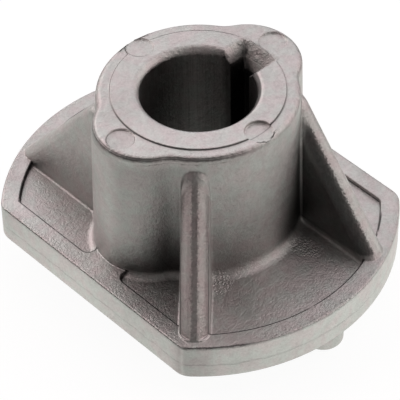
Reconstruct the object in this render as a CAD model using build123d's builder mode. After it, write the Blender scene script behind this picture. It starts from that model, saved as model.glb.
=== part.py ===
"""Mower blade adapter: a die-cast aluminium hub that slides on a keyed crankshaft and carries the blade.

The origin lies on the bore axis in the blade seat, which is the underside of the flange.
+Z runs up the hub, and +X points to the keyway. The flats of the flange face +X and -X.
Lengths are in millimetres and angles in degrees.
"""
import os
from math import cos, radians, sin, sqrt, tan

from build123d import *

# Crankshaft bore and its keyway
bore_diameter = 22.2
bore_chamfer = 1.0
keyway_width = 5.0
keyway_depth = 3.6
mouth_width = 9.2
mouth_depth = 5.3
mouth_drop = 2.4

# Flange with two flats and shallow pockets
flange_diameter = 78.2
across_flats = 58.6
flange_thickness = 8.0
flange_corner_radius = 4.0
flange_chamfer = 0.25
rim_width = 3.7
pocket_depth = 0.8
pocket_corner_radius = 1.6
bridge_width = 8.6

# Hub with two lobes
hub_height = 37.6
hub_diameter = 38.7
lobe_radius = 10.55
lobe_offset = 12.8
lobe_blend_radius = 6.0
hub_draft = 1.3
hub_edge_radius = 1.3
hub_root_radius = 1.5

# Hub end face, with a raised ring round the bore and four ejector pin marks
ring_diameter = 33.4
ring_step = 0.25
pin_diameter = 5.4
pin_depth = 0.35
lobe_pin_offset = 19.66
side_pin_offset = 16.3

# Two diagonal ribs
rib_angle = 225.0
rib_thickness = 5.8
rib_drop = 2.3
rib_setback = 0.9

# Two gussets parallel to the flats
gusset_lead = 1.0
gusset_thickness = 5.6
gusset_drop = 2.6
gusset_shoulder = 12.7
gusset_setback = 0.2

# What ribs and gussets share
web_draft = 0.7
web_crest_flat = 0.4
web_shoulder_radius = 5.0
web_root_radius = 0.5
web_sink = 0.3
root_plate_margin = 3.0

# Two drive lugs under the flange
lug_diameter = 8.0
lug_length = 4.6
lug_margin = 0.9
lug_chamfer = 0.6

# Levels and radii that follow from the sizes above
bore_radius = bore_diameter / 2
hub_radius = hub_diameter / 2
flange_radius = flange_diameter / 2
pocket_floor = flange_thickness - pocket_depth
hub_face = hub_height - ring_step
rib_cos = abs(cos(radians(rib_angle)))
rib_sin = abs(sin(radians(rib_angle)))
rib_reach = min(flange_radius, (across_flats - rib_thickness * rib_sin) / 2 / rib_cos) - rib_setback
gusset_offset = lobe_offset + gusset_lead
gusset_reach = sqrt(flange_radius**2 - (gusset_offset + gusset_thickness / 2) ** 2) - gusset_setback
lug_spacing = flange_diameter - lug_diameter - 2 * lug_margin


def flat_sided_disc(inset):
    """Outline of the flange moved inward by inset, with sharp corners."""
    with BuildSketch(mode=Mode.PRIVATE) as outline:
        Circle(flange_radius - inset)
        Rectangle(across_flats - 2 * inset, flange_diameter, mode=Mode.INTERSECT)
    return outline.sketch


def upright_web(plane, shoulder, reach, height, thickness):
    """Web with drafted sides and a round crest, which falls from its shoulder to the rim at reach."""
    across = Axis((0, 0, 0), plane.z_dir)
    rise = height - flange_thickness
    sole = pocket_floor - web_sink
    run_out = reach + (flange_thickness - sole) * (reach - shoulder) / rise
    crest_radius = (thickness - web_crest_flat) / 2 - rise * tan(radians(web_draft))
    with BuildPart() as body:
        with BuildSketch(plane) as profile:
            with BuildLine():
                Polyline(
                    (0, height),
                    (0, sole),
                    (run_out, sole),
                    (shoulder, height),
                    close=True,
                )
            make_face()
            fillet(profile.vertices().group_by(Axis.Y)[-1].sort_by(Axis.X)[-1], web_shoulder_radius)
        extrude(amount=thickness / 2, both=True)
        draft(body.faces().filter_by(across), Plane.XY.offset(flange_thickness), web_draft)
        crest = body.faces().filter_by(lambda face: face.normal_at().Z > sin(radians(2 * web_draft)))
        crest_edges = crest.edges().filter_by(across, reverse=True)
        fillet(crest_edges.filter_by(lambda edge: edge.center().Z > pocket_floor), crest_radius)
    return body.part


rib_direction = Vector(cos(radians(rib_angle)), sin(radians(rib_angle)), 0)
rib = upright_web(
    Plane((0, 0, 0), x_dir=rib_direction, z_dir=rib_direction.cross(Vector(0, 0, 1))),
    hub_radius, rib_reach, hub_height - rib_drop, rib_thickness)
gusset = upright_web(
    Plane((gusset_offset, 0, 0), x_dir=(0, -1, 0), z_dir=(-1, 0, 0)),
    gusset_shoulder, gusset_reach, hub_height - gusset_drop, gusset_thickness)

# Pockets between the rim and the bridges at the lobes
with BuildSketch(mode=Mode.PRIVATE) as pockets:
    add(flat_sided_disc(rim_width))
    Rectangle(flange_diameter, bridge_width, mode=Mode.SUBTRACT)
    offset(amount=-pocket_corner_radius)
    offset(amount=pocket_corner_radius)

with BuildPart() as casting:
    # Plate up to the pocket floor, wider than the flange so that every root ends on it
    with BuildSketch():
        add(flat_sided_disc(-root_plate_margin))
    extrude(amount=pocket_floor)

    # Hub and lobes, drafted from the hub end down to the plate
    with BuildSketch(Plane.XY.offset(hub_face)) as hub_outline:
        Circle(hub_radius)
        with Locations((lobe_offset, 0), (-lobe_offset, 0)):
            Circle(lobe_radius)
        fillet(hub_outline.vertices(), lobe_blend_radius)
    extrude(amount=pocket_floor - hub_face, taper=-hub_draft)
    hub_edges = casting.edges(Select.LAST).filter_by(Plane.XY).group_by(Axis.Z)
    fillet(hub_edges[0], hub_root_radius)
    fillet(casting.edges().group_by(Axis.Z)[-1], hub_edge_radius)

    # Ribs and gussets, rounded into the plate and the hub
    with PolarLocations(0, 2):
        add([rib, gusset])
    web_edges = casting.edges(Select.LAST)
    floor_roots = web_edges.filter_by_position(Axis.Z, pocket_floor, pocket_floor)
    hub_sides = casting.faces().filter_by(GeomType.CONE) + casting.faces().filter_by(GeomType.TORUS)
    fillet(floor_roots + (web_edges & hub_sides.edges()), web_root_radius)

    # Flange outline cut through the plate
    with BuildSketch() as flange_outline:
        add(flat_sided_disc(0))
        fillet(flange_outline.vertices(), flange_corner_radius)
    extrude(amount=hub_height, mode=Mode.INTERSECT)

    # Rim and bridges round the pockets, and the broken edges of the flange
    with BuildSketch(Plane.XY.offset(pocket_floor)):
        add(flange_outline.sketch)
        add(pockets.sketch, mode=Mode.SUBTRACT)
    extrude(amount=pocket_depth)
    rim_faces = casting.faces().filter_by_position(Axis.Z, flange_thickness, flange_thickness)
    rim_outline = rim_faces.sort_by(SortBy.AREA)[-1].outer_wire().edges()
    seat_outline = casting.edges().group_by(Axis.Z)[0]
    chamfer(rim_outline + seat_outline, flange_chamfer)

    # Raised ring of the hub end
    with BuildSketch(Plane.XY.offset(hub_face)):
        Circle(ring_diameter / 2)
    extrude(amount=ring_step)

    # Ejector pin marks on the lobes and across the ring
    with BuildSketch(Plane.XY.offset(hub_height)):
        with Locations((lobe_pin_offset, 0), (-lobe_pin_offset, 0)):
            Circle(pin_diameter / 2)
        with Locations((0, side_pin_offset), (0, -side_pin_offset)):
            Circle(pin_diameter / 2)
    extrude(amount=-(ring_step + pin_depth), mode=Mode.SUBTRACT)

    # Bore with a broken edge at the hub end
    with BuildSketch():
        Circle(bore_radius)
    extrude(amount=hub_height, mode=Mode.SUBTRACT)
    chamfer(casting.edges(Select.LAST).group_by(Axis.Z)[-1], bore_chamfer)

    # Keyway, and its flared mouth at the hub end
    keyway_floor = bore_radius + keyway_depth
    mouth_floor = bore_radius + mouth_depth
    with BuildSketch():
        Rectangle(keyway_floor, keyway_width, align=(Align.MIN, Align.CENTER))
    extrude(amount=hub_height, mode=Mode.SUBTRACT)
    with BuildSketch(Plane.XY.offset(hub_height - mouth_drop)):
        Rectangle(keyway_floor, keyway_width, align=(Align.MIN, Align.CENTER))
    with BuildSketch(Plane.XY.offset(hub_height)):
        Rectangle(mouth_floor, mouth_width, align=(Align.MIN, Align.CENTER))
    loft(mode=Mode.SUBTRACT)

    # Drive lugs
    with BuildSketch():
        with GridLocations(0, lug_spacing, 1, 2):
            Circle(lug_diameter / 2)
    extrude(amount=-lug_length)
    chamfer(casting.edges().group_by(Axis.Z)[0], lug_chamfer)

casting.part.label = "adapter_casting"
os.makedirs("parts", exist_ok=True)
export_step(casting.part, "parts/adapter_casting.step")
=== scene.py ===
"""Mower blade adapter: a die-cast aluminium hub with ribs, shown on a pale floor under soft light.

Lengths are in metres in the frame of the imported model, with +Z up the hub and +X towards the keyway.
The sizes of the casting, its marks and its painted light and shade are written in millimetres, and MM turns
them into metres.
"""
import math

import bmesh
import bpy
from mathutils import Matrix, Vector


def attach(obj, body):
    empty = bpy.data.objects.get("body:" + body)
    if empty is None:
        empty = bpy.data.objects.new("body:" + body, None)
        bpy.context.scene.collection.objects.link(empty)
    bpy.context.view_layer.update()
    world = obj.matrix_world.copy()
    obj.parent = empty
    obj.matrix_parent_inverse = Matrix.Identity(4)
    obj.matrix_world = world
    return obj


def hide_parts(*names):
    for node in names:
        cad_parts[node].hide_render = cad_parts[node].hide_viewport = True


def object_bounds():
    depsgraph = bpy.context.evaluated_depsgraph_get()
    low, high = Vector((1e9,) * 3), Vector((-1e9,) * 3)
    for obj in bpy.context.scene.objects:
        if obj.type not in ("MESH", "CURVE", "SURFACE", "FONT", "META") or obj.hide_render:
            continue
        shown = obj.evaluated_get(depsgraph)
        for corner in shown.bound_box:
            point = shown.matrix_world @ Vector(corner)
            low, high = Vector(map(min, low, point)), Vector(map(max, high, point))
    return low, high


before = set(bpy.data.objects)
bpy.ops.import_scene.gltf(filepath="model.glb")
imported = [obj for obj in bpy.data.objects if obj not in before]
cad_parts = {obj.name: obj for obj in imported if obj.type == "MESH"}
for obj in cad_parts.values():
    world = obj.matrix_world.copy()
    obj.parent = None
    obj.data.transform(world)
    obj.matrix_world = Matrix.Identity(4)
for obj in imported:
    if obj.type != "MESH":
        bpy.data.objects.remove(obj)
cad_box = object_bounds()

MM = 0.001

# Flange and its pockets
FLANGE_RADIUS = 39.1
ACROSS_FLATS = 58.6
FLANGE_TOP = 8.0
FLANGE_LINE = 3.4
RIM_WIDTH = 3.7
POCKET_FLOOR = 7.2
POCKET_CORNER = 1.6
BRIDGE_WIDTH = 8.6

# Bore, keyway and the mouth of the keyway
BORE_RADIUS = 11.1
BORE_CHAMFER = 1.0
KEYWAY_HALF = 2.5
KEYWAY_END = 14.7
MOUTH_HALF = 4.6
MOUTH_FLOOR = 35.2
MOUTH_END = 16.4

# Hub, its end face, and the pin marks in that face
HUB_RADIUS = 19.35
HUB_FOOT_RADIUS = 20.0
HUB_EDGE = 1.3
HUB_ROOT = 1.5
HUB_FACE = 37.35
HUB_TOP = 37.6
RING_EDGE = 16.78
PIN_RADIUS = 2.7
PIN_FLOOR = 37.0
SIDE_PIN = 16.3

# Ways in plan towards the right and towards the front of the part
RIGHT_WAY = (0.727, -0.686)
FRONT_WAY = (-0.68, -0.73)

# Places in plan where the die has scraped the hub root
SCRAPES = ((6.2, -22.9), (-12.5, -18.4))

# Colours of the casting
DULL_METAL = (0.36, 0.355, 0.35, 1)
BRIGHT_METAL = (0.60, 0.59, 0.585, 1)
PINKISH = (1.03, 0.98, 0.985, 1)
GREENISH = (0.975, 1.015, 0.995, 1)
RIB_PINK = (1.05, 0.98, 0.99, 1)
PLAIN = (1.0, 1.0, 1.0, 1)
# The last colour is what painted shade, and a few real marks, darken the metal towards
SHADE_AND_MARK_BLACK = (0.02, 0.02, 0.02, 1)


class Wire:
    """A socket of a shader tree. Operators on it add Math nodes."""

    def __init__(self, shade, socket):
        self.shade = shade
        self.socket = socket

    def math(self, operation, first, second=0.0):
        return self.shade.node("ShaderNodeMath", {"operation": operation}, {0: first, 1: second})

    def __add__(self, other):
        return self.math("ADD", self, other)

    __radd__ = __add__

    def __sub__(self, other):
        return self.math("SUBTRACT", self, other)

    def __rsub__(self, other):
        return self.math("SUBTRACT", other, self)

    def __mul__(self, other):
        return self.math("MULTIPLY", self, other)

    __rmul__ = __mul__

    def __truediv__(self, other):
        return self.math("DIVIDE", self, other)

    def __neg__(self):
        return self.math("MULTIPLY", self, -1.0)

    def __abs__(self):
        return self.math("ABSOLUTE", self)

    def __pow__(self, other):
        return self.math("POWER", self, other)

    def at_least(self, other):
        return self.math("MAXIMUM", self, other)

    def at_most(self, other):
        return self.math("MINIMUM", self, other)

    def beside(self, name):
        """Another output of the same node."""
        return Wire(self.shade, self.socket.node.outputs[name])


class Shade:
    """The node tree of a material or of the world."""

    def __init__(self, owner):
        owner.use_nodes = True
        self.tree = owner.node_tree
        self.tree.nodes.clear()

    def node(self, kind, settings=None, inputs=None, output=0):
        """Adds a node, sets its settings and then its inputs, and returns one of its outputs."""
        made = self.tree.nodes.new(kind)
        for name, value in (settings or {}).items():
            setattr(made, name, value)
        for name, value in (inputs or {}).items():
            if isinstance(value, Wire):
                self.tree.links.new(value.socket, made.inputs[name])
            else:
                made.inputs[name].default_value = value
        return Wire(self, made.outputs[output]) if len(made.outputs) else None

    def step(self, value, low, high):
        """0 below low and 1 above high, with a smooth rise between them."""
        settings = {"interpolation_type": "SMOOTHSTEP"}
        return self.node("ShaderNodeMapRange", settings, {"Value": value, "From Min": low, "From Max": high})

    def fall(self, value, low, high):
        """1 below low and 0 above high, with a smooth fall between them."""
        return 1.0 - self.step(value, low, high)

    def near(self, distance, inner, outer):
        """1 within inner of the place where distance is nought, and 0 beyond outer."""
        return self.fall(abs(distance), inner, outer)

    def noise(self, place, scale, detail=2.0, roughness=0.5):
        """Even noise about nought."""
        inputs = {"Vector": place, "Scale": scale, "Detail": detail, "Roughness": roughness}
        return self.node("ShaderNodeTexNoise", {}, inputs) - 0.5

    def mix(self, amount, first, second, blend="MIX"):
        """Colour between first and second."""
        settings = {"data_type": "RGBA", "blend_type": blend}
        return self.node("ShaderNodeMix", settings, {0: amount, 6: first, 7: second}, 2)

    def tint(self, amount, colour, first, second):
        """Colour multiplied by a tint between first and second."""
        return self.mix(1.0, colour, self.mix(amount, first, second), "MULTIPLY")

    def dot(self, first, second):
        return self.node("ShaderNodeVectorMath", {"operation": "DOT_PRODUCT"}, {0: first, 1: second}, "Value")


class Skin:
    """The surface of the casting as it builds up: where a point lies, its noises, and what they add up to,
    painted light and shade among it.
    """

    def __init__(self, shade):
        self.shade = shade
        metres = shade.node("ShaderNodeTexCoord", {}, {}, "Object")
        self.place = shade.node("ShaderNodeVectorMath", {"operation": "SCALE"}, {0: metres, "Scale": 1 / MM})
        self.across = shade.node("ShaderNodeSeparateXYZ", {}, {0: self.place}, "X")
        self.along = self.across.beside("Y")
        self.height = self.across.beside("Z")
        self.radius = (self.across * self.across + self.along * self.along) ** 0.5
        self.on_flange = shade.fall(self.height, FLANGE_TOP + 0.1, FLANGE_TOP + 0.4)

        # Distances in plan from the bore axis towards the right and towards the front
        self.rightward = self.across * RIGHT_WAY[0] + self.along * RIGHT_WAY[1]
        self.frontward = self.across * FRONT_WAY[0] + self.along * FRONT_WAY[1]

        self.cloud = shade.noise(self.place, 0.12, 3.0, 0.6)
        self.wander = shade.noise(self.place, 0.35)
        self.mottle = shade.noise(self.place, 0.7, 3.0, 0.6)
        self.tear = shade.noise(self.place, 0.8, 3.0, 0.7)
        self.grain = shade.noise(self.place, 2.2, 3.0, 0.65)

        self.tone = self.cloud * 0.6 + self.mottle * 0.9 + self.grain * 1.1 + 0.5
        self.roughness = self.mottle * 0.16 + self.grain * 0.20 + 0.47
        self.clean = 1.0
        self.mottle_depth = 0.10
        self.grain_depth = 0.12
        self.relief = 0.0

    def darken(self, mask, depth):
        """Darkens what the mask covers: painted shade in most places, real marks in a few."""
        self.clean = self.clean * (1.0 - mask * depth)


def pocket_wall_shade(skin):
    """Painted shade where the pocket floors meet their walls."""
    shade = skin.shade
    past_flat = abs(skin.across) - (ACROSS_FLATS / 2 - RIM_WIDTH)
    past_arc = skin.radius - (FLANGE_RADIUS - RIM_WIDTH)
    past_rim = (past_flat.at_least(past_arc) + POCKET_CORNER).at_least(0.0)
    past_bridge = (BRIDGE_WIDTH / 2 + POCKET_CORNER - abs(skin.along)).at_least(0.0)
    from_wall = (past_rim * past_rim + past_bridge * past_bridge) ** 0.5 - POCKET_CORNER
    wall_shade = shade.near(from_wall - 0.06, 0.12, 0.36) * skin.on_flange * shade.step(skin.wander, -0.25, -0.08)

    # Beside the keyway the painted shade covers only the foot of the wall
    by_keyway = shade.step(skin.across, 22.0, 24.0)
    above_foot = shade.step(skin.height, POCKET_FLOOR + 0.1, POCKET_FLOOR + 0.3)
    skin.darken(wall_shade * (1.0 - by_keyway * above_foot), 0.88)


def bore_wall(skin):
    """Drawn wall of the bore with upright streaks, with painted shade at its left and right and on its edge
    at the right.
    """
    shade = skin.shade
    below_edge = shade.fall(skin.height, 36.2, 36.8)
    bore = shade.fall(skin.radius, BORE_RADIUS + 0.1, BORE_RADIUS + 0.3) * below_edge
    drawn = shade.node("ShaderNodeCombineXYZ", {}, {0: skin.across, 1: skin.along, 2: skin.height * 0.03})
    streak = shade.noise(drawn, 2.2, 2.0, 0.6)
    skin.tone = skin.tone + bore * streak * 1.5
    skin.roughness = skin.roughness - bore * 0.08
    # Painted shade: the bore wall darker towards the left and the right
    skin.darken(bore, shade.fall(skin.rightward, -9.0, 1.0) * 0.5 + shade.step(skin.rightward, 6.0, 9.0) * 0.7)

    # Painted shade on the rounded edge of the bore at the right
    edge = shade.fall(skin.radius, BORE_RADIUS + 0.65, BORE_RADIUS + BORE_CHAMFER)
    edge = edge * shade.step(skin.height, 36.0, 36.3) * shade.fall(skin.height, HUB_FACE, HUB_FACE + 0.15)
    skin.darken(edge * shade.step(skin.rightward, 2.0, 7.0), 0.8)


def keyway_mouth(skin):
    """Painted shade in the keyway, and the torn mouth where it opens at the hub end."""
    shade = skin.shade
    off_middle = abs(skin.along)
    torn_end = skin.across + skin.tear * 3.2
    mouth = shade.step(skin.across, KEYWAY_END - 0.8, KEYWAY_END - 0.1)
    mouth = mouth * shade.fall(torn_end, MOUTH_END + 0.35, MOUTH_END + 0.55)
    mouth = mouth * shade.fall(off_middle, MOUTH_HALF - 0.1, MOUTH_HALF + 0.1)
    mouth = mouth * shade.step(skin.height, 33.0, 34.0)
    skin.darken(mouth, 0.04)
    skin.roughness = skin.roughness + mouth * 0.12
    skin.mottle_depth = skin.mottle_depth + mouth * 0.3

    # Painted shade makes the slot black, but its end wall only lower down
    within = shade.fall(skin.across, KEYWAY_END + 0.3, KEYWAY_END + 0.7)
    keyway = shade.step(skin.across, BORE_RADIUS - 0.4, BORE_RADIUS) * within
    keyway = keyway * shade.fall(off_middle, KEYWAY_HALF, KEYWAY_HALF + 0.3)
    end_rise = shade.step(skin.across, KEYWAY_END - 0.5, KEYWAY_END - 0.1) * 2.5
    skin.darken(keyway * shade.fall(skin.height + end_rise, 33.8, 35.4), 0.85)

    # Painted shade where the far side of the mouth rolls into the dark
    far_side = shade.step(skin.along, KEYWAY_HALF - 0.3, KEYWAY_HALF + 0.1)
    far_side = far_side * shade.fall(skin.along, MOUTH_HALF, MOUTH_HALF + 0.3)
    far_side = far_side * shade.step(skin.across, 10.0, 11.0) * shade.fall(skin.across, 15.2, MOUTH_END)
    skin.darken(far_side * shade.fall(skin.height, 35.4, 37.3), 0.8)

    # The end wall goes on with the slope of the mouth
    end_wall = shade.step(skin.across, KEYWAY_END - 0.7, KEYWAY_END - 0.3) * within
    end_wall = end_wall * shade.fall(off_middle, KEYWAY_HALF + 0.1, KEYWAY_HALF + 0.4)
    drop = skin.height.at_most(MOUTH_FLOOR).at_least(32.0) - MOUTH_FLOOR
    skin.relief = skin.relief - drop * end_wall * shade.step(skin.height, 31.0, 32.0) * 0.7


def flange_edge(skin):
    """Side of the flange with its faint line, painted light and painted shade; the worn top edge with painted
    shade along it at the front; painted light on the rim at the left flat.
    """
    shade = skin.shade
    from_edge = (abs(skin.across) - ACROSS_FLATS / 2).at_least(skin.radius - FLANGE_RADIUS)
    side = shade.step(from_edge, -0.3, -0.1) * skin.on_flange
    # Painted light on the side, stronger towards the right, and painted shade at its front-left corner
    skin.tone = skin.tone + side * (0.05 + 0.25 * shade.step(skin.rightward, 5.0, 25.0))
    corner = side * shade.step(-skin.across, 23.0, 27.0) * shade.step(-skin.along, 22.0, 26.0)
    skin.darken(corner, 0.2)
    line = shade.near(skin.height + skin.wander * 1.2 - FLANGE_LINE, 0.05, 0.30) * side
    skin.darken(line, 0.12)
    skin.relief = skin.relief - line * 0.05

    # Worn top edge
    ragged = shade.step(from_edge, -2.2, -0.1) * shade.step(skin.height, FLANGE_TOP - 0.9, FLANGE_TOP - 0.2)
    skin.grain_depth = skin.grain_depth + ragged * skin.on_flange * 0.14
    drop = skin.height.at_most(FLANGE_TOP).at_least(FLANGE_TOP - 0.5) - FLANGE_TOP
    skin.relief = skin.relief + drop * shade.step(from_edge, -0.8, -0.4) * 0.9

    # Painted shade along the front top edge, which breaks up into specks towards the right
    whole = shade.step(-skin.across, 17.0, 21.0)
    specks = shade.step(skin.tear, 0.10, 0.16)
    lip_shade = shade.near(from_edge + 0.25 + skin.tear * 0.6, 0.06, 0.24) * whole.at_least(specks)
    lip_shade = lip_shade * shade.step(-skin.along, 24.0, 27.0)
    lip_shade = lip_shade * shade.step(skin.height, FLANGE_TOP - 0.7, FLANGE_TOP - 0.5) * skin.on_flange
    skin.darken(lip_shade, 0.7)

    # Painted light on the rim at the left flat
    left_rim_light = shade.step(-skin.across, 22.0, 27.0) * shade.step(skin.along, -12.0, 4.0) * skin.on_flange
    skin.tone = skin.tone + left_rim_light * 0.25


def hub_end(skin):
    """Rounded brow of the hub with painted shade along its front in a ragged line and at its left, painted
    shade at the step of the ring, and painted light on the end face towards the front.
    """
    shade = skin.shade
    brow = shade.step(skin.radius, 17.1, 17.5) * shade.step(skin.height, 35.4, 35.7)
    skin.mottle_depth = skin.mottle_depth + brow * 0.1
    front = shade.step(skin.frontward, 2.0, 14.0) * shade.fall(skin.rightward, 2.0, 14.0)
    drop = skin.height.at_most(37.2).at_least(36.0) - 37.2
    skin.relief = skin.relief + drop * shade.step(skin.radius, 13.0, 13.5) * front * 0.25
    # Painted shade along the front of the brow, ragged in outline
    line = shade.near(skin.height + skin.tear * 0.6 - 37.0, 0.10, 0.40) * brow * front
    line = line * shade.fall(skin.height, 37.15, 37.3)
    skin.darken(line * shade.step(abs(skin.height - PIN_FLOOR), 0.02, 0.04), 0.5)
    # Painted shade on the brow at the left
    left_shade = brow * shade.fall(skin.height, 37.1, 37.3) * shade.fall(skin.rightward, -20.0, -13.0)
    skin.darken(left_shade, 0.2)

    # Painted shade at the step of the ring, towards the front
    ring_step_shade = shade.near(skin.radius - RING_EDGE, 0.04, 0.20) * shade.step(skin.height, 36.9, 37.1)
    skin.darken(ring_step_shade * shade.step(skin.frontward, -1.65, 10.0), 0.8)
    # Painted light on the end face towards the front
    face = shade.step(skin.height, 36.9, 37.2) * shade.step(skin.frontward, 6.0, 16.0)
    skin.tone = skin.tone + face * 0.25


def rib_crests(skin):
    """Ribs that rise to a narrow crest, with a painted dark reflection on the crest, ragged with specks, and
    painted shade on their flanks and lower on their left side. Returns the mask of the ribs.
    """
    shade = skin.shade
    off_rib = abs(skin.across - skin.along) * math.sqrt(0.5)
    out_rib = abs(skin.across + skin.along) * math.sqrt(0.5)
    rib = shade.fall(off_rib, 2.5, 2.7) * shade.step(out_rib, 20.2, 21.4)
    rib = rib * shade.step(skin.height, FLANGE_TOP + 0.2, FLANGE_TOP + 0.7)
    skin.relief = skin.relief - (off_rib - 0.5).at_least(0.0) * rib * 0.42
    skin.grain_depth = skin.grain_depth + rib * 0.10
    # Painted dark reflection on the crest, ragged with specks, and painted shade on the flanks
    skin.darken(shade.fall(off_rib + skin.grain * 1.6, 0.35, 0.90) * rib, 0.35)
    skin.darken(shade.step(off_rib, 1.6, 2.6) * rib, 0.2)
    # Painted shade on the left side of the ribs, lighter higher up
    left_shade = shade.step(skin.along - skin.across, 0.8, 1.8) * (1.0 - 0.5 * shade.step(skin.height, 12.0, 22.0))
    skin.darken(left_shade * rib, 0.3)
    return rib


def corner_shade(skin, rib):
    """Painted shade on the front gusset, which lies in the hub's shadow, and in the corners between the hub,
    the ribs and the gussets.
    """
    shade = skin.shade
    open_sky = shade.node("ShaderNodeAmbientOcclusion", {"samples": 8}, {"Distance": 14 * MM}, "AO")
    gusset = shade.fall(skin.across + skin.grain * 1.6, 13.0, 13.7) * shade.step(skin.across, 9.0, 9.6)
    gusset = gusset * shade.step(-skin.along, 15.5, 17.0) * shade.step(skin.radius, 20.2, 20.8)
    gusset = gusset * shade.step(skin.height, 8.4, 9.2)

    by_gusset = shade.step(-skin.across * skin.along, -20.0, 110.0) * shade.fall(abs(skin.across), 12.4, 13.0)
    by_rib = shade.step(skin.across * skin.along, 0.0, 90.0)
    by_rib = by_rib * shade.step(abs(skin.across) - abs(skin.along), -2.0, 3.0)
    corner = shade.fall(open_sky, 0.22, 0.86) * (by_gusset + by_rib).at_most(1.0)
    corner = corner * shade.step(skin.height, 7.6, 9.0) * shade.step(skin.radius, 13.0, 15.0)
    on_gusset = gusset * (0.55 + 0.25 * shade.step(open_sky, 0.3, 0.9))
    skin.darken(corner * 0.90 * (1.0 - gusset) + on_gusset, 1.0)

    # Painted shade on the hub walls beside the ribs
    rib_side_shade = by_rib * (1.0 - rib) * shade.step(skin.height, 8.6, 10.0) * shade.fall(skin.height, 34.0, 36.5)
    skin.darken(rib_side_shade, 0.22)


def root_scrapes(skin):
    """Small scrapes beside the hub root."""
    shade = skin.shade
    nearest = 100.0
    for across, along in SCRAPES:
        aside = skin.across - across
        ahead = skin.along - along
        nearest = ((aside * aside + ahead * ahead) ** 0.5).at_most(nearest)
    scraped = shade.fall(nearest, 1.2, 3.6) * shade.fall(skin.height, 9.0, 11.0)
    skin.relief = skin.relief + shade.noise(skin.place, 2.6, 1.0) * scraped * 0.5


def cast_aluminium():
    """As-cast aluminium: satin grey with grain, with painted shade round the pockets, in the corners and in
    the keyway, and painted light on some faces.
    """
    material = bpy.data.materials.new("cast_aluminium")
    shade = Shade(material)
    skin = Skin(shade)
    pocket_wall_shade(skin)
    bore_wall(skin)
    keyway_mouth(skin)
    flange_edge(skin)
    hub_end(skin)
    rib = rib_crests(skin)
    corner_shade(skin, rib)
    root_scrapes(skin)

    colour = shade.mix(skin.tone, DULL_METAL, BRIGHT_METAL)
    colour = shade.tint(shade.step(skin.wander, -0.15, 0.15), colour, PINKISH, GREENISH)
    colour = shade.tint(rib, colour, PLAIN, RIB_PINK)
    # Painted shade, with a few real marks, darkens the colour towards black
    colour = shade.mix(1.0 - skin.clean, colour, SHADE_AND_MARK_BLACK)
    relief = skin.relief + skin.grain * skin.grain_depth + skin.mottle * skin.mottle_depth
    bump = shade.node("ShaderNodeBump", {}, {"Strength": 1.0, "Distance": MM, "Height": relief})
    inputs = {"Base Color": colour, "Metallic": 1.0, "Roughness": skin.roughness, "Normal": bump}
    surface = shade.node("ShaderNodeBsdfPrincipled", {}, inputs)
    shade.node("ShaderNodeOutputMaterial", {}, {"Surface": surface})
    return material


def round_bore_edge(body):
    """Rounds the edge of the bore and the far side of the keyway mouth."""
    def on_circle(vert, radius, height):
        spot = vert.co / MM
        return abs(math.hypot(spot.x, spot.y) - radius) < 0.03 and abs(spot.z - height) < 0.03

    def on_far_side(vert):
        spot = vert.co / MM
        return abs(spot.y - MOUTH_HALF) < 0.05 and spot.z > HUB_TOP - 0.05

    soft = []
    for edge in body.edges:
        top = all(on_circle(vert, BORE_RADIUS + BORE_CHAMFER, HUB_TOP) for vert in edge.verts)
        inner = all(on_circle(vert, BORE_RADIUS, HUB_TOP - BORE_CHAMFER) for vert in edge.verts)
        if top or inner or all(on_far_side(vert) for vert in edge.verts):
            soft.append(edge)
    bmesh.ops.bevel(
        body, geom=soft, offset=0.55 * MM, offset_type="OFFSET", segments=4, profile=0.5,
        affect="EDGES", material=-1, clamp_overlap=False)


def shallow_back_pin(body):
    """Lifts the floor of the pin mark at the back until it hardly shows below the hub end."""
    for vert in body.verts:
        across, along, height = vert.co / MM
        reach = math.hypot(across, along)
        in_mark = math.hypot(across, along - SIDE_PIN) < PIN_RADIUS + 0.05 and reach < 19.1
        if in_mark and height > PIN_FLOOR - 0.2:
            past_face = max(reach - (HUB_RADIUS - HUB_EDGE), 0.0)
            brow = HUB_FACE - HUB_EDGE + math.sqrt(HUB_EDGE**2 - past_face**2)
            vert.co.z = max(vert.co.z, min(HUB_FACE - 0.03, brow - 0.02) * MM)


def wider_hub_root(body):
    """Widens the round at the foot of the hub between the front rib and the front gusset."""
    start, end, ease = 236, 300, 10
    for vert in body.verts:
        across, along, height = vert.co / MM
        reach = math.hypot(across, along)
        bearing = math.degrees(math.atan2(along, across)) % 360
        on_root = 19.9 < reach < 21.7 and 7.15 < height < POCKET_FLOOR + HUB_ROOT + 0.05
        if on_root and start < bearing < end:
            grow = 0.55 * min(1.0, (bearing - start) / ease, (end - bearing) / ease)
            spread = 1 + grow * (reach - HUB_FOOT_RADIUS) / reach
            vert.co.x *= spread
            vert.co.y *= spread
            vert.co.z += grow * (height - POCKET_FLOOR) * MM


def casting_skin(node):
    """The casting as one joined mesh with smooth rounds and fine soft edges."""
    mesh = node.data.copy()
    mesh.name = "casting"
    body = bmesh.new()
    body.from_mesh(mesh)
    bmesh.ops.remove_doubles(body, verts=body.verts, dist=0.001 * MM)
    flat = math.radians(0.2)
    bmesh.ops.dissolve_limit(body, angle_limit=flat, verts=body.verts, edges=body.edges)
    round_bore_edge(body)
    shallow_back_pin(body)
    wider_hub_root(body)
    for face in body.faces:
        face.smooth = True
    body.to_mesh(mesh)
    body.free()
    crease = math.radians(32)
    mesh.set_sharp_from_angle(angle=crease)
    piece = bpy.data.objects.new("casting", mesh)
    bpy.context.scene.collection.objects.link(piece)
    soften = piece.modifiers.new("soft_edges", "BEVEL")
    soften.width = 0.22 * MM
    soften.segments = 2
    soften.limit_method = "ANGLE"
    soften.angle_limit = crease
    soften.use_clamp_overlap = False
    soften.harden_normals = False
    weigh = piece.modifiers.new("even_flats", "WEIGHTED_NORMAL")
    weigh.keep_sharp = False
    weigh.weight = 90
    return piece


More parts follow.
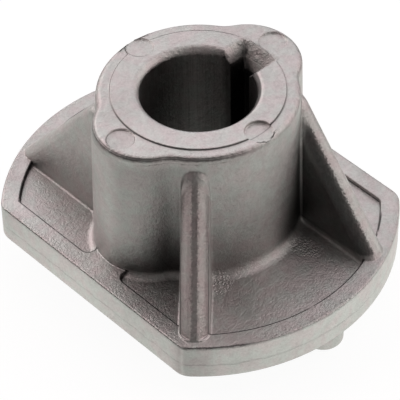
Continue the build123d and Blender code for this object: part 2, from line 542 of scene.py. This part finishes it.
metal = cast_aluminium()
casting = casting_skin(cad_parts["adapter_casting"])
casting.data.materials.clear()
casting.data.materials.append(metal)
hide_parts("adapter_casting")
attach(casting, "root")

# Camera, with its axes and its place
right = Vector((0.72708, -0.68645, -0.01144))
up = Vector((0.48787, 0.50488, 0.71209))
back = Vector((-0.48304, -0.52334, 0.70199))
camera_place = Vector((-229.982, -249.201, 342.324)) * MM
lens = bpy.data.cameras.new("camera")
lens.sensor_width = 36.0
lens.lens = 218.5
lens.clip_start = 0.01
camera = bpy.data.objects.new("camera", lens)
camera.matrix_world = Matrix.Translation(camera_place) @ Matrix((right, up, back)).transposed().to_4x4()
bpy.context.scene.collection.objects.link(camera)
bpy.context.scene.camera = camera

# Floor under the lugs
plane = bmesh.new()
bmesh.ops.create_grid(plane, x_segments=1, y_segments=1, size=3.0)
bmesh.ops.translate(plane, verts=plane.verts, vec=(0, 0, cad_box[0][2]))
floor_mesh = bpy.data.meshes.new("floor")
plane.to_mesh(floor_mesh)
plane.free()
floor = bpy.data.objects.new("floor", floor_mesh)
bpy.context.scene.collection.objects.link(floor)

# White paper on the floor, whose glow the metal mirrors out to a short way, with a painted shadow below the
# part and painted shade at the left
paper = bpy.data.materials.new("paper")
shade = Shade(paper)
camera_ray = shade.node("ShaderNodeLightPath", {}, {}, "Is Camera Ray")
spot = shade.node("ShaderNodeTexCoord", {}, {}, "Object")
reach = shade.node("ShaderNodeVectorMath", {"operation": "LENGTH"}, {0: spot}, "Value")
rightness = shade.dot(spot, right) / reach
left_dim = 0.22 * shade.fall(rightness, -0.2, 0.7) * shade.step(reach, 38 * MM, 50 * MM)
below_dim = 0.1 + 0.9 * shade.step(reach, 18 * MM, 30 * MM)
mirrored = below_dim * (1.0 - left_dim) * shade.fall(reach, 100 * MM, 160 * MM)
glow = shade.mix(mirrored, (0.0, 0.0, 0.0, 1), (1.0, 1.0, 0.95, 1))
glow = shade.mix(camera_ray, glow, (0.92, 0.92, 0.92, 1))
white = shade.node("ShaderNodeEmission", {}, {"Color": glow, "Strength": 1.0})
matt = shade.node("ShaderNodeBsdfDiffuse", {}, {"Color": (0.12, 0.12, 0.12, 1)})
surface = shade.node("ShaderNodeAddShader", {}, {0: white, 1: matt})
shade.node("ShaderNodeOutputMaterial", {}, {"Surface": surface})
floor.data.materials.append(paper)

# Soft boxes: bearing from the front of the part, height above the floor and half width in degrees, and light
FRONT_BEARING = 227.3
SOFT_BOXES = {
    "right_low": (90, 0, 55, (0.49, 0.48, 0.48)),
    "right": (90, 20, 55, (0.50, 0.41, 0.37)),
    "right_high": (120, 40, 55, (0.68, 0.62, 0.64)),
    "back_top": (150, 60, 55, (0.35, 0.32, 0.31)),
    "back_left": (240, 20, 55, (1.19, 0.97, 0.92)),
    "back_low": (210, 0, 80, (0.97, 0.97, 1.01)),
    "front_fill": (0, 20, 50, (0.12, 0.11, 0.105)),
}
world = bpy.data.worlds.new("studio")
bpy.context.scene.world = world
shade = Shade(world)
way = shade.node("ShaderNodeTexCoord", {}, {}, "Generated")
light = (0.06, 0.06, 0.06)
for bearing, rise, half, tint in SOFT_BOXES.values():
    turn = math.radians(FRONT_BEARING + bearing)
    lift = math.radians(rise)
    box_way = (math.cos(turn) * math.cos(lift), math.sin(turn) * math.cos(lift), math.sin(lift))
    edge = math.cos(math.radians(half))
    core = math.cos(math.radians(half / 4))
    amount = shade.step(shade.dot(way, box_way), edge, core)
    share = shade.node("ShaderNodeVectorMath", {"operation": "SCALE"}, {0: tint, "Scale": amount})
    light = shade.node("ShaderNodeVectorMath", {"operation": "ADD"}, {0: light, 1: share})
sky = shade.node("ShaderNodeBackground", {}, {"Color": light, "Strength": 1.0})
shade.node("ShaderNodeOutputWorld", {}, {"Surface": sky})

bpy.context.scene.view_settings.view_transform = "Standard"
